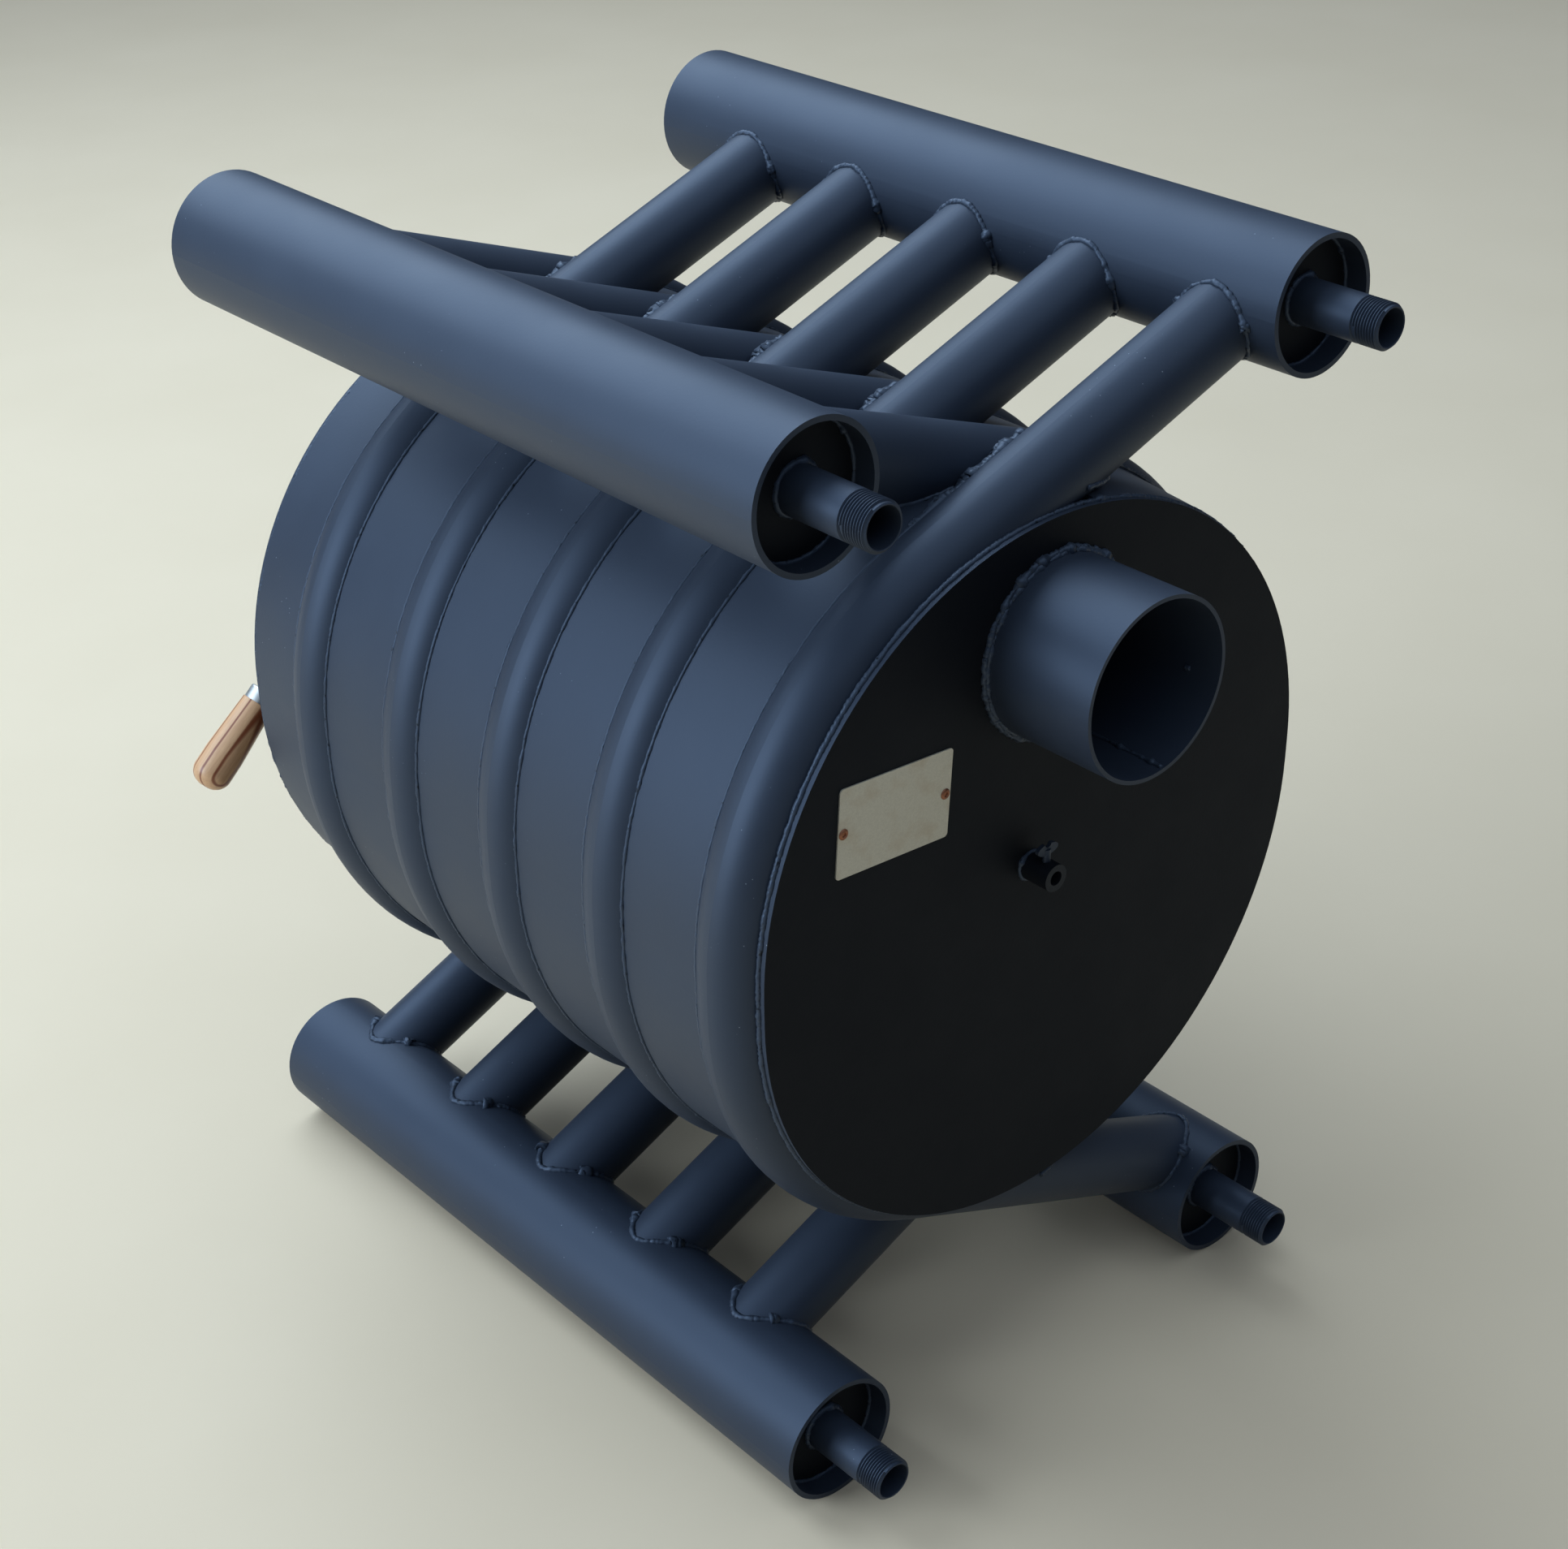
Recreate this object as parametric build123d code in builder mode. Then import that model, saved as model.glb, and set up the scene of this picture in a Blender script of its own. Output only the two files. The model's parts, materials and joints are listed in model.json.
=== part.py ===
from build123d import *
from math import acos, atan2, cos, degrees, radians, sin, sqrt
import os

# Water-heating tube stove, lying on its two lower collectors.
# +X is the right side seen from the door, +Y runs to the rear plate, +Z is up.
# The origin is on the floor, under the firebox axis, midway between the flue and air inlet mouths.

# Bent water tubes, laid alternately from the right and from the left
tube_od = 60.3
tube_wall = 3.0
tube_pitch = 61.0
tubes_per_side = 5
bend_radius = 254.0
side_run = 20.0
lower_aim = 18.0
weld_gap = 0.15
seat_relief = 0.3
flue_seat_relief = 1.2
seat_reach = 3.0

# Collector pipes that the tubes open into
collector_od = 101.6
collector_wall = 4.0
upper_collector_x = 233.2
upper_collector_rise = 365.5
upper_collector_front = 630.0
upper_collector_back = 20.0
lower_collector_x = 212.2
lower_collector_drop = 398.5
lower_collector_front = 656.0
lower_collector_back = 14.0
cap_recess = 18.0
cap_thickness = 5.0

# Threaded pipe nipples
nipple_od = 33.4
nipple_wall = 3.2
nipple_reach = 58.0
nipple_chamfer = 1.0

# Firebox shell
plate_thickness = 5.0
plate_rim_rise = 11.0
strip_thickness = 3.0
strip_rise = 21.0
end_strip_lap = 2.0
strip_overlap_angle = 82.0
door_opening_radius = 165.0
partition_height = 95.0
partition_thickness = 5.0
partition_front_gap = 110.0
partition_side_gap = 1.0

# Flue stub
flue_od = 133.0
flue_wall = 3.0
flue_rise = 181.0
flue_reach = 92.5

# Bare name plate and its two blind rivets
name_plate_width = 102.0
name_plate_height = 67.0
name_plate_thickness = 1.0
name_plate_corner = 3.0
name_plate_inset = 116.0
name_plate_drop = 157.5
name_plate_tilt = 3.8
rivet_spacing = 92.6
rivet_shank = 4.0
rivet_head = 8.0
rivet_head_height = 1.4
rivet_tail = 3.0
rivet_clearance = 0.1

# Sensor sleeve with a wing screw
sleeve_x = 16.0
sleeve_z = 12.0
sleeve_od = 21.0
sleeve_bore = 11.0
sleeve_reach = 25.0
sleeve_depth = 70.0
sleeve_end = 4.0
screw_diameter = 6.0
screw_setback = 10.0
screw_clearance = 0.05
screw_tip_gap = 0.5
screw_neck = 5.0
screw_wing_width = 20.0
screw_wing_height = 9.0
screw_wing_thickness = 3.0

# Door frame and door
frame_radius = 180.0
frame_wall = 5.0
frame_depth = 30.0
door_lap = 10.0
door_sheet = 3.0
door_skirt = 16.0
door_gap = 4.5
door_corner = 4.0
seal_channel_inset = 10.0
seal_channel_depth = 8.0
seal_rope = 7.0
shield_inset = 18.0
shield_thickness = 3.0
shield_standoff = 20.0
spacer_circle_radius = 120.0
spacer_radius = 6.0
spacer_count = 3

# Air inlet in the door, with its throttle
air_tube_od = 76.0
air_tube_wall = 3.0
air_tube_reach = 48.0
air_tube_drop = 88.0
throttle_setback = 36.0
throttle_edge_gap = 1.5
throttle_thickness = 2.5
throttle_shaft_diameter = 8.0
throttle_flat = 1.5
throttle_running_gap = 0.05
throttle_shaft_overhang = 6.0
throttle_crank_reach = 18.0
throttle_crank_length = 46.0
throttle_bend_radius = 12.0

# Door hinge
hinge_clearance = 24.0
hinge_setback = 42.0
hinge_pin_diameter = 10.0
hinge_running_gap = 0.05
knuckle_od = 20.0
knuckle_length = 50.0
knuckle_gap = 1.0
hinge_strap_reach = 110.0
hinge_strap_thickness = 5.0
lug_thickness = 8.0
pin_head_diameter = 16.0
pin_head_height = 4.0
pin_tail = 5.0

# Door latch, its wooden grip and its keeper
latch_inset = 40.0
latch_z = 23.5
latch_stud_diameter = 12.0
latch_boss_diameter = 22.0
latch_boss_length = 26.0
latch_plate_thickness = 6.0
latch_hub_radius = 16.0
latch_running_gap = 0.05
latch_face_gap = 0.5
latch_head_diameter = 20.0
latch_head_height = 5.0
tongue_length = 44.0
tongue_width = 15.0
tongue_angle = 49.0
lever_angle = -42.8
lever_rod_diameter = 12.0
lever_rod_start = 10.0
lever_tang = 60.0
ferrule_start = 97.5
ferrule_diameter = 26.0
ferrule_length = 12.0
ferrule_wall = 1.2
ferrule_edge = 1.9
grip_length = 93.0
grip_shoulder_diameter = 27.6
grip_diameter = 33.6
grip_swell = 62.0
grip_end_radius = 14.0
keeper_clearance = 6.0
keeper_sheet = 6.0
keeper_lip = 23.0
keeper_height = 18.0
keeper_face_gap = 0.5

# Levels and positions that follow from the sizes above
door_radius = frame_radius + door_lap
seal_channel_radius = frame_radius - seal_channel_inset
shield_radius = seal_channel_radius - shield_inset
hinge_x = door_radius + hinge_clearance
latch_x = door_radius - latch_inset
keeper_x = door_radius + keeper_clearance
tube_radius = tube_od / 2
tube_bore_radius = tube_radius - tube_wall
collector_radius = collector_od / 2
collector_bore_radius = collector_radius - collector_wall
nipple_seat_radius = nipple_od / 2 - seat_relief
flue_seat_radius = flue_od / 2 - flue_seat_relief
strip_radius = bend_radius + strip_rise
plate_radius = bend_radius + plate_rim_rise
end_strip_radius = plate_radius + end_strip_lap
name_plate_x = plate_radius - name_plate_inset
name_plate_z = plate_radius - name_plate_drop
body_z = lower_collector_drop + collector_radius
arc_top_z = body_z + side_run / 2
arc_bottom_z = body_z - side_run / 2
shell_length = 2 * tubes_per_side * tube_pitch
body_length = shell_length + 2 * plate_thickness
door_face_depth = frame_depth + door_gap + door_sheet
air_mouth_depth = door_face_depth + air_tube_reach
rear_y = (body_length + air_mouth_depth - flue_reach) / 2
rear_inner_y = rear_y - plate_thickness
front_inner_y = rear_inner_y - shell_length
front_y = front_inner_y - plate_thickness
frame_front_y = front_y - frame_depth
door_back_y = frame_front_y - door_gap
door_front_y = door_back_y - door_sheet
air_mouth_y = door_front_y - air_tube_reach
air_z = body_z - air_tube_drop
upper_collector_z = body_z + upper_collector_rise
lower_collector_z = collector_radius
hinge_y = front_y - hinge_setback
latch_level_z = body_z + latch_z
latch_y = door_front_y - latch_boss_length - latch_face_gap - latch_plate_thickness / 2
throttle_y = air_mouth_y + throttle_setback

os.makedirs("parts", exist_ok=True)


def save(part, name):
    part.label = name
    export_step(part, "parts/" + name + ".step")


def upright(y):
    # Vertical plane across the stove at depth y, local x along +X and local y along +Z
    return Plane.XZ.offset(-y)


def tangent_angle(side_x, target_x, target_z, arc_z, aim):
    # Direction, from the bend's centre, of the point where the straight run leaves the bend
    reach = sqrt(target_x**2 + (target_z - arc_z) ** 2)
    spread = degrees(acos((bend_radius + aim) / reach))
    centre = degrees(atan2(target_z - arc_z, target_x))
    return min((centre - spread, centre + spread), key=lambda a: -side_x * cos(radians(a)))


def run_end(angle, target_x, target_z, arc_z, aim):
    # Foot of the straight run beside the collector's axis
    centre_x = target_x - aim * cos(radians(angle))
    centre_z = target_z - aim * sin(radians(angle))
    return (centre_x, centre_z)


def tube_path(side_x, y):
    # Centre line of one tube: it rounds the firebox on side_x, crosses over and under it,
    # and ends inside the two collectors of the other side.
    top_x = -side_x * upper_collector_x
    low_x = -side_x * lower_collector_x
    top = tangent_angle(side_x, top_x, upper_collector_z, arc_top_z, 0)
    low = tangent_angle(side_x, low_x, lower_collector_z, arc_bottom_z, lower_aim)
    side = 0 if side_x > 0 else 180
    if side_x < 0:
        low = low % 360
    with BuildLine(upright(y)) as path:
        upper_bend = CenterArc((0, arc_top_z), bend_radius, top, side - top)
        Line(run_end(top, top_x, upper_collector_z, arc_top_z, 0), upper_bend @ 0)
        lower_bend = CenterArc((0, arc_bottom_z), bend_radius, side, low - side)
        Line(upper_bend @ 1, lower_bend @ 0)
        Line(lower_bend @ 1, run_end(low, low_x, lower_collector_z, arc_bottom_z, lower_aim))
    return path.wire()


def collector_centres(side_x):
    return [
        (side_x * upper_collector_x, upper_collector_z),
        (side_x * lower_collector_x, lower_collector_z),
    ]


def tube_place(side_x, index):
    # Number of a tube counted from the front: the frontmost is a left one, the rearmost a right one
    return 2 * index + (1 if side_x > 0 else 0)


def tube_depth(place):
    return front_inner_y + tube_pitch * (place + 0.5)


# Bent tubes, trimmed to a saddle where they meet the collectors
side_names = {1: "right", -1: "left"}
tube_outlines = {}
for side_x, side_name in side_names.items():
    for index in range(tubes_per_side):
        place = tube_place(side_x, index)
        y = tube_depth(place)
        path = tube_path(side_x, y)
        with BuildPart() as bent_tube:
            with BuildSketch(Plane(origin=path @ 0, z_dir=path % 0)):
                Circle(tube_radius)
                Circle(tube_bore_radius, mode=Mode.SUBTRACT)
            sweep(path=path)
            with BuildSketch(upright(y - tube_od)):
                with Locations(*collector_centres(-side_x)):
                    Circle(collector_radius + weld_gap)
            extrude(amount=-2 * tube_od, mode=Mode.SUBTRACT)
        save(bent_tube.part, f"{side_name}_tube_{index + 1}")
        with BuildPart() as outline:
            with BuildSketch(Plane(origin=path @ 0, z_dir=path % 0)):
                Circle(tube_radius + weld_gap)
            sweep(path=path)
        tube_outlines[place] = outline.part


# Sheet strips that close the wall between neighbouring tubes of one side
sector_x = 2 * strip_radius * cos(radians(strip_overlap_angle))
sector_z = 2 * strip_radius * sin(radians(strip_overlap_angle))
for side_x, side_name in side_names.items():
    sector = [
        (0, body_z),
        (side_x * sector_x, body_z + sector_z),
        (side_x * sector_z, body_z + sector_z),
        (side_x * sector_z, body_z - sector_z),
        (side_x * sector_x, body_z - sector_z),
    ]
    for index in range(tubes_per_side):
        place = tube_place(-side_x, index)
        y = tube_depth(place)
        at_front = side_x > 0 and index == 0
        at_rear = side_x < 0 and index == tubes_per_side - 1
        start = front_inner_y if at_front else y - tube_pitch
        end = rear_inner_y if at_rear else y + tube_pitch
        edges = {
            start: end_strip_radius if at_front else strip_radius,
            end: end_strip_radius if at_rear else strip_radius,
        }
        with BuildPart() as strip:
            for edge_y, edge_radius in edges.items():
                with BuildSketch(upright(edge_y)):
                    with Locations((0, body_z)):
                        SlotCenterToCenter(side_run, 2 * edge_radius, rotation=90)
                        inner_width = 2 * (edge_radius - strip_thickness)
                        SlotCenterToCenter(side_run, inner_width, rotation=90, mode=Mode.SUBTRACT)
                    with Locations((0, 0)):
                        Polygon(*sector, align=None, mode=Mode.INTERSECT)
            loft(ruled=True)
            for neighbour in (place - 1, place, place + 1):
                if neighbour in tube_outlines:
                    add(tube_outlines[neighbour], mode=Mode.SUBTRACT)
        kept = strip.part.solids().sort_by(SortBy.VOLUME)[-1]
        save(Part(kept.wrapped), f"{side_name}_strip_{index + 1}")


# Collectors, with a hole for every tube, and their caps and nipples
upper = (upper_collector_x, upper_collector_z, upper_collector_front, upper_collector_back, arc_top_z, 0)
lower = (lower_collector_x, lower_collector_z, lower_collector_front, lower_collector_back)
lower += (arc_bottom_z, lower_aim)
for level_name, level in {"upper": upper, "lower": lower}.items():
    offset_x, centre_z, front, back, arc_z, aim = level
    for side_x, side_name in side_names.items():
        centre = (side_x * offset_x, centre_z)
        name = f"{level_name}_{side_name}_collector"
        angle = tangent_angle(-side_x, centre[0], centre_z, arc_z, aim)
        foot = run_end(angle, centre[0], centre_z, arc_z, aim)
        leave_x = bend_radius * cos(radians(angle)) - foot[0]
        leave_z = arc_z + bend_radius * sin(radians(angle)) - foot[1]
        collector_front_y = rear_y - front
        collector_back_y = rear_y + back
        with BuildPart() as collector:
            with BuildSketch(upright(collector_front_y)):
                with Locations(centre):
                    Circle(collector_radius)
                    Circle(collector_bore_radius, mode=Mode.SUBTRACT)
            extrude(amount=collector_front_y - collector_back_y)
            for index in range(tubes_per_side):
                y = tube_depth(tube_place(-side_x, index))
                with BuildSketch(Plane(origin=(foot[0], y, foot[1]), z_dir=(leave_x, 0, leave_z))):
                    Circle(tube_bore_radius)
                extrude(amount=collector_od, mode=Mode.SUBTRACT)
        save(collector.part, name)

        with BuildPart() as rear_cap:
            with BuildSketch(upright(collector_back_y - cap_recess)):
                with Locations(centre):
                    Circle(collector_bore_radius - weld_gap)
                    Circle(nipple_seat_radius + weld_gap, mode=Mode.SUBTRACT)
            extrude(amount=cap_thickness)
        save(rear_cap.part, name + "_rear_cap")

        with BuildPart() as front_cap:
            with BuildSketch(upright(collector_front_y + cap_recess)):
                with Locations(centre):
                    Circle(collector_bore_radius - weld_gap)
            extrude(amount=-cap_thickness)
        save(front_cap.part, name + "_front_cap")

        nipple_length = nipple_reach + cap_recess + cap_thickness
        with BuildPart() as nipple:
            with BuildSketch(upright(collector_back_y + nipple_reach)):
                with Locations(centre):
                    Circle(nipple_od / 2)
            extrude(amount=nipple_reach + cap_recess - seat_reach)
            chamfer(nipple.faces().sort_by(Axis.Y)[-1].edges(), length=nipple_chamfer)
            with BuildSketch(upright(collector_back_y)):
                with Locations(centre):
                    Circle(nipple_seat_radius)
            extrude(amount=cap_recess + cap_thickness)
            with BuildSketch(upright(collector_back_y + nipple_reach)):
                with Locations(centre):
                    Circle(nipple_od / 2 - nipple_wall)
            extrude(amount=nipple_length, mode=Mode.SUBTRACT)
        save(nipple.part, name.replace("collector", "nipple"))


# Rear and front plates follow the shape of the bent tubes
flue_z = body_z + flue_rise
sleeve_level_z = body_z + sleeve_z
plate_tag_z = body_z + name_plate_z
rivet_dx = rivet_spacing / 2 * cos(radians(name_plate_tilt))
rivet_dz = rivet_spacing / 2 * sin(radians(name_plate_tilt))
rivet_places = [
    (name_plate_x - rivet_dx, plate_tag_z - rivet_dz),
    (name_plate_x + rivet_dx, plate_tag_z + rivet_dz),
]
rivet_hole = rivet_shank / 2 + rivet_clearance

with BuildPart() as rear_plate:
    with BuildSketch(upright(rear_y)):
        with Locations((0, body_z)):
            SlotCenterToCenter(side_run, 2 * plate_radius, rotation=90)
        with Locations((0, flue_z)):
            Circle(flue_seat_radius + weld_gap, mode=Mode.SUBTRACT)
        with Locations((sleeve_x, sleeve_level_z)):
            Circle(sleeve_od / 2 + weld_gap, mode=Mode.SUBTRACT)
        with Locations(*rivet_places):
            Circle(rivet_hole, mode=Mode.SUBTRACT)
    extrude(amount=plate_thickness)
save(rear_plate.part, "rear_plate")

with BuildPart() as front_plate:
    with BuildSketch(upright(front_y)):
        with Locations((0, body_z)):
            SlotCenterToCenter(side_run, 2 * plate_radius, rotation=90)
        with Locations((0, body_z)):
            Circle(door_opening_radius, mode=Mode.SUBTRACT)
    extrude(amount=-plate_thickness)
save(front_plate.part, "front_plate")

with BuildPart() as flue_stub:
    with BuildSketch(upright(rear_y + flue_reach)):
        with Locations((0, flue_z)):
            Circle(flue_od / 2)
    extrude(amount=flue_reach - seat_reach)
    with BuildSketch(upright(rear_y + flue_reach)):
        with Locations((0, flue_z)):
            Circle(flue_seat_radius)
    extrude(amount=flue_reach + plate_thickness)
    with BuildSketch(upright(rear_y + flue_reach)):
        with Locations((0, flue_z)):
            Circle(flue_od / 2 - flue_wall)
    extrude(amount=flue_reach + plate_thickness, mode=Mode.SUBTRACT)
save(flue_stub.part, "flue_stub")

# Gas partition above the fire, resting between the bent tubes
tube_inner = bend_radius - tube_radius
partition_level = body_z + partition_height
partition_half = sqrt(tube_inner**2 - (partition_level + partition_thickness - arc_top_z) ** 2)
with BuildPart() as gas_partition:
    with BuildSketch(Plane.XY.offset(partition_level)):
        with Locations((0, (front_inner_y + partition_front_gap + rear_inner_y) / 2)):
            Rectangle(2 * (partition_half - partition_side_gap), shell_length - partition_front_gap)
    extrude(amount=partition_thickness)
save(gas_partition.part, "gas_partition")

# Bare name plate and rivets
with BuildPart() as name_plate:
    with BuildSketch(upright(rear_y)):
        with Locations(Location((name_plate_x, plate_tag_z), name_plate_tilt)):
            RectangleRounded(name_plate_width, name_plate_height, name_plate_corner)
        with Locations(*rivet_places):
            Circle(rivet_hole, mode=Mode.SUBTRACT)
    extrude(amount=-name_plate_thickness)
save(name_plate.part, "name_plate")

rivet_seat_y = rear_y + name_plate_thickness
rivet_grip = name_plate_thickness + plate_thickness + rivet_tail
with BuildPart() as rivets:
    with BuildSketch(upright(rivet_seat_y)):
        with Locations(*rivet_places):
            Circle(rivet_head / 2)
    extrude(amount=-rivet_head_height)
    fillet(rivets.faces().group_by(Axis.Y)[-1].edges(), radius=rivet_head_height * 0.7)
    with BuildSketch(upright(rivet_seat_y)):
        with Locations(*rivet_places):
            Circle(rivet_shank / 2)
    extrude(amount=rivet_grip)
save(rivets.part, "name_plate_rivets")

# Blind sensor sleeve through the rear plate, clamped from above by a wing screw
screw_y = rear_y + sleeve_reach - screw_setback
screw_foot_z = sleeve_level_z + sleeve_bore / 2 + screw_tip_gap
with BuildPart() as sensor_sleeve:
    with BuildSketch(upright(rear_y + sleeve_reach)):
        with Locations((sleeve_x, sleeve_level_z)):
            Circle(sleeve_od / 2)
    extrude(amount=sleeve_reach + plate_thickness + sleeve_depth)
    with BuildSketch(upright(rear_y + sleeve_reach)):
        with Locations((sleeve_x, sleeve_level_z)):
            Circle(sleeve_bore / 2)
    extrude(amount=sleeve_reach + plate_thickness + sleeve_depth - sleeve_end, mode=Mode.SUBTRACT)
    with BuildSketch(Plane.XY.offset(sleeve_level_z)):
        with Locations((sleeve_x, screw_y)):
            Circle(screw_diameter / 2 + screw_clearance)
    extrude(amount=sleeve_od, mode=Mode.SUBTRACT)
save(sensor_sleeve.part, "sensor_sleeve")

screw_head_z = sleeve_level_z + sleeve_od / 2 + screw_neck
with BuildPart() as wing_screw:
    with BuildSketch(Plane.XY.offset(screw_foot_z)):
        with Locations((sleeve_x, screw_y)):
            Circle(screw_diameter / 2)
    extrude(amount=screw_head_z - screw_foot_z + screw_wing_height / 2)
    with BuildSketch(Plane.XZ.offset(-screw_y - screw_wing_thickness / 2)):
        with Locations((sleeve_x, screw_head_z + screw_wing_height / 2)):
            Ellipse(screw_wing_width / 2, screw_wing_height / 2)
        with Locations((sleeve_x, screw_head_z + screw_wing_height)):
            Circle(screw_wing_height / 3, mode=Mode.SUBTRACT)
    extrude(amount=screw_wing_thickness)
save(wing_screw.part, "sleeve_wing_screw")

# Door frame: a short ring welded round the opening
with BuildPart() as door_frame:
    with BuildSketch(upright(front_y)):
        with Locations((0, body_z)):
            Circle(frame_radius)
            Circle(frame_radius - frame_wall, mode=Mode.SUBTRACT)
    extrude(amount=frame_depth)
save(door_frame.part, "door_frame")

# Round door: a pressed disc with a skirt and an inner channel for the seal
door_axis = Axis((0, 0, body_z), (0, 1, 0))
with BuildPart() as door:
    with BuildSketch(Plane.YZ):
        with BuildLine():
            Polyline(
                (door_front_y, body_z),
                (door_front_y, body_z + door_radius),
                (door_back_y + door_skirt, body_z + door_radius),
                (door_back_y + door_skirt, body_z + door_radius - door_sheet),
                (door_back_y, body_z + door_radius - door_sheet),
                (door_back_y, body_z + seal_channel_radius),
                (door_back_y + seal_channel_depth, body_z + seal_channel_radius),
                (door_back_y + seal_channel_depth, body_z + seal_channel_radius - door_sheet),
                (door_back_y, body_z + seal_channel_radius - door_sheet),
                (door_back_y, body_z),
                close=True,
            )
        make_face()
    revolve(axis=door_axis)
    rim = door.edges().filter_by(GeomType.CIRCLE).sort_by(Axis.Y)[0]
    fillet(rim, radius=door_corner)
    with BuildSketch(upright(door_front_y)):
        with Locations((0, air_z)):
            Circle(air_tube_od / 2 + weld_gap)
    extrude(amount=-2 * door_sheet, mode=Mode.SUBTRACT)
save(door.part, "door")

# Rope seal in the door's channel, facing the frame's edge
seal_radius = frame_radius - frame_wall / 2
with BuildPart() as door_seal:
    with BuildSketch(Plane.YZ):
        with Locations((door_back_y + seal_rope / 2 - seal_rope * 0.2, body_z + seal_radius)):
            Rectangle(seal_rope * 0.6, seal_rope)
    revolve(axis=door_axis)
    fillet(door_seal.edges().filter_by(GeomType.CIRCLE).group_by(Axis.Y)[-1], radius=seal_rope * 0.3)
save(door_seal.part, "door_seal")

# Heat shield on three spacers behind the door
shield_front_y = door_back_y + shield_standoff
spacer_places = PolarLocations(spacer_circle_radius, spacer_count, start_angle=90).locations
spacer_points = [(place.position.X, body_z + place.position.Y) for place in spacer_places]
with BuildPart() as door_shield:
    with BuildSketch(upright(shield_front_y)):
        with Locations((0, body_z)):
            Circle(shield_radius)
        with Locations((0, air_z)):
            Circle(air_tube_od / 2 + weld_gap, mode=Mode.SUBTRACT)
    extrude(amount=-shield_thickness)
save(door_shield.part, "door_shield")

with BuildPart() as shield_spacers:
    with BuildSketch(upright(door_back_y)):
        with Locations(*spacer_points):
            Circle(spacer_radius)
    extrude(amount=-shield_standoff)
save(shield_spacers.part, "shield_spacers")

# Air inlet tube through the door and its shield
air_inner_y = shield_front_y + shield_thickness
throttle_shaft_hole = throttle_shaft_diameter / 2 + throttle_running_gap
with BuildPart() as air_tube:
    with BuildSketch(upright(air_mouth_y)):
        with Locations((0, air_z)):
            Circle(air_tube_od / 2)
            Circle(air_tube_od / 2 - air_tube_wall, mode=Mode.SUBTRACT)
    extrude(amount=air_mouth_y - air_inner_y)
    with BuildSketch(Plane.YZ.offset(-air_tube_od)):
        with Locations((throttle_y, air_z)):
            Circle(throttle_shaft_hole)
    extrude(amount=2 * air_tube_od, mode=Mode.SUBTRACT)
save(air_tube.part, "air_tube")

# Throttle: a disc bolted to the flat of a shaft that is bent down into a crank
throttle_bore = air_tube_od / 2 - air_tube_wall
shaft_left = -air_tube_od / 2 - throttle_shaft_overhang
crank_x = air_tube_od / 2 + throttle_crank_reach
disc_face_y = throttle_y + throttle_shaft_diameter / 2 - throttle_flat
with BuildPart() as throttle_shaft:
    with BuildLine(upright(throttle_y)) as shaft_line:
        FilletPolyline(
            (shaft_left, air_z),
            (crank_x, air_z),
            (crank_x, air_z - throttle_crank_length),
            radius=throttle_bend_radius,
        )
    shaft_path = shaft_line.wire()
    with BuildSketch(Plane(origin=shaft_path @ 0, z_dir=shaft_path % 0)):
        Circle(throttle_shaft_diameter / 2)
    sweep(path=shaft_path)
    with BuildSketch(upright(disc_face_y)):
        with Locations((0, air_z)):
            Rectangle(2 * (throttle_bore - throttle_edge_gap), throttle_shaft_diameter)
    extrude(amount=-throttle_flat, mode=Mode.SUBTRACT)
save(throttle_shaft.part, "throttle_shaft")

with BuildPart() as throttle_disc:
    with BuildSketch(upright(disc_face_y)):
        with Locations((0, air_z)):
            Circle(throttle_bore - throttle_edge_gap)
    extrude(amount=-throttle_thickness)
save(throttle_disc.part, "throttle_disc")

# Door hinge: strap and knuckle on the door, two lugs on the front plate, one pin
knuckle_bore = hinge_pin_diameter / 2 + hinge_running_gap
with BuildPart() as hinge_leaf:
    with BuildSketch(Plane.XY.offset(body_z - knuckle_length / 2)):
        with Locations((-hinge_x, hinge_y)):
            Circle(knuckle_od / 2)
        with Locations((-hinge_x + hinge_strap_reach / 2, door_front_y - hinge_strap_thickness / 2)):
            Rectangle(hinge_strap_reach, hinge_strap_thickness)
        with Locations((-hinge_x, hinge_y)):
            Circle(knuckle_bore, mode=Mode.SUBTRACT)
    extrude(amount=knuckle_length)
save(hinge_leaf.part, "door_hinge_leaf")

with BuildPart() as hinge_lugs:
    for level in (knuckle_length / 2 + knuckle_gap, -knuckle_length / 2 - knuckle_gap - lug_thickness):
        with BuildSketch(Plane.XY.offset(body_z + level)):
            with Locations((-hinge_x, hinge_y)):
                Circle(knuckle_od / 2)
            with Locations((-hinge_x, hinge_y + hinge_setback / 2)):
                Rectangle(knuckle_od, hinge_setback)
            with Locations((-hinge_x, hinge_y)):
                Circle(knuckle_bore, mode=Mode.SUBTRACT)
        extrude(amount=lug_thickness)
save(hinge_lugs.part, "hinge_lugs")

pin_seat_z = body_z + knuckle_length / 2 + knuckle_gap + lug_thickness
pin_length = 2 * (pin_seat_z - body_z) + pin_tail
with BuildPart() as hinge_pin:
    with BuildSketch(Plane.XY.offset(pin_seat_z)):
        with Locations((-hinge_x, hinge_y)):
            Circle(pin_head_diameter / 2)
    extrude(amount=pin_head_height)
    fillet(hinge_pin.faces().sort_by(Axis.Z)[-1].edges(), radius=pin_head_height * 0.4)
    with BuildSketch(Plane.XY.offset(pin_seat_z)):
        with Locations((-hinge_x, hinge_y)):
            Circle(hinge_pin_diameter / 2)
    extrude(amount=-pin_length)
save(hinge_pin.part, "hinge_pin")

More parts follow.
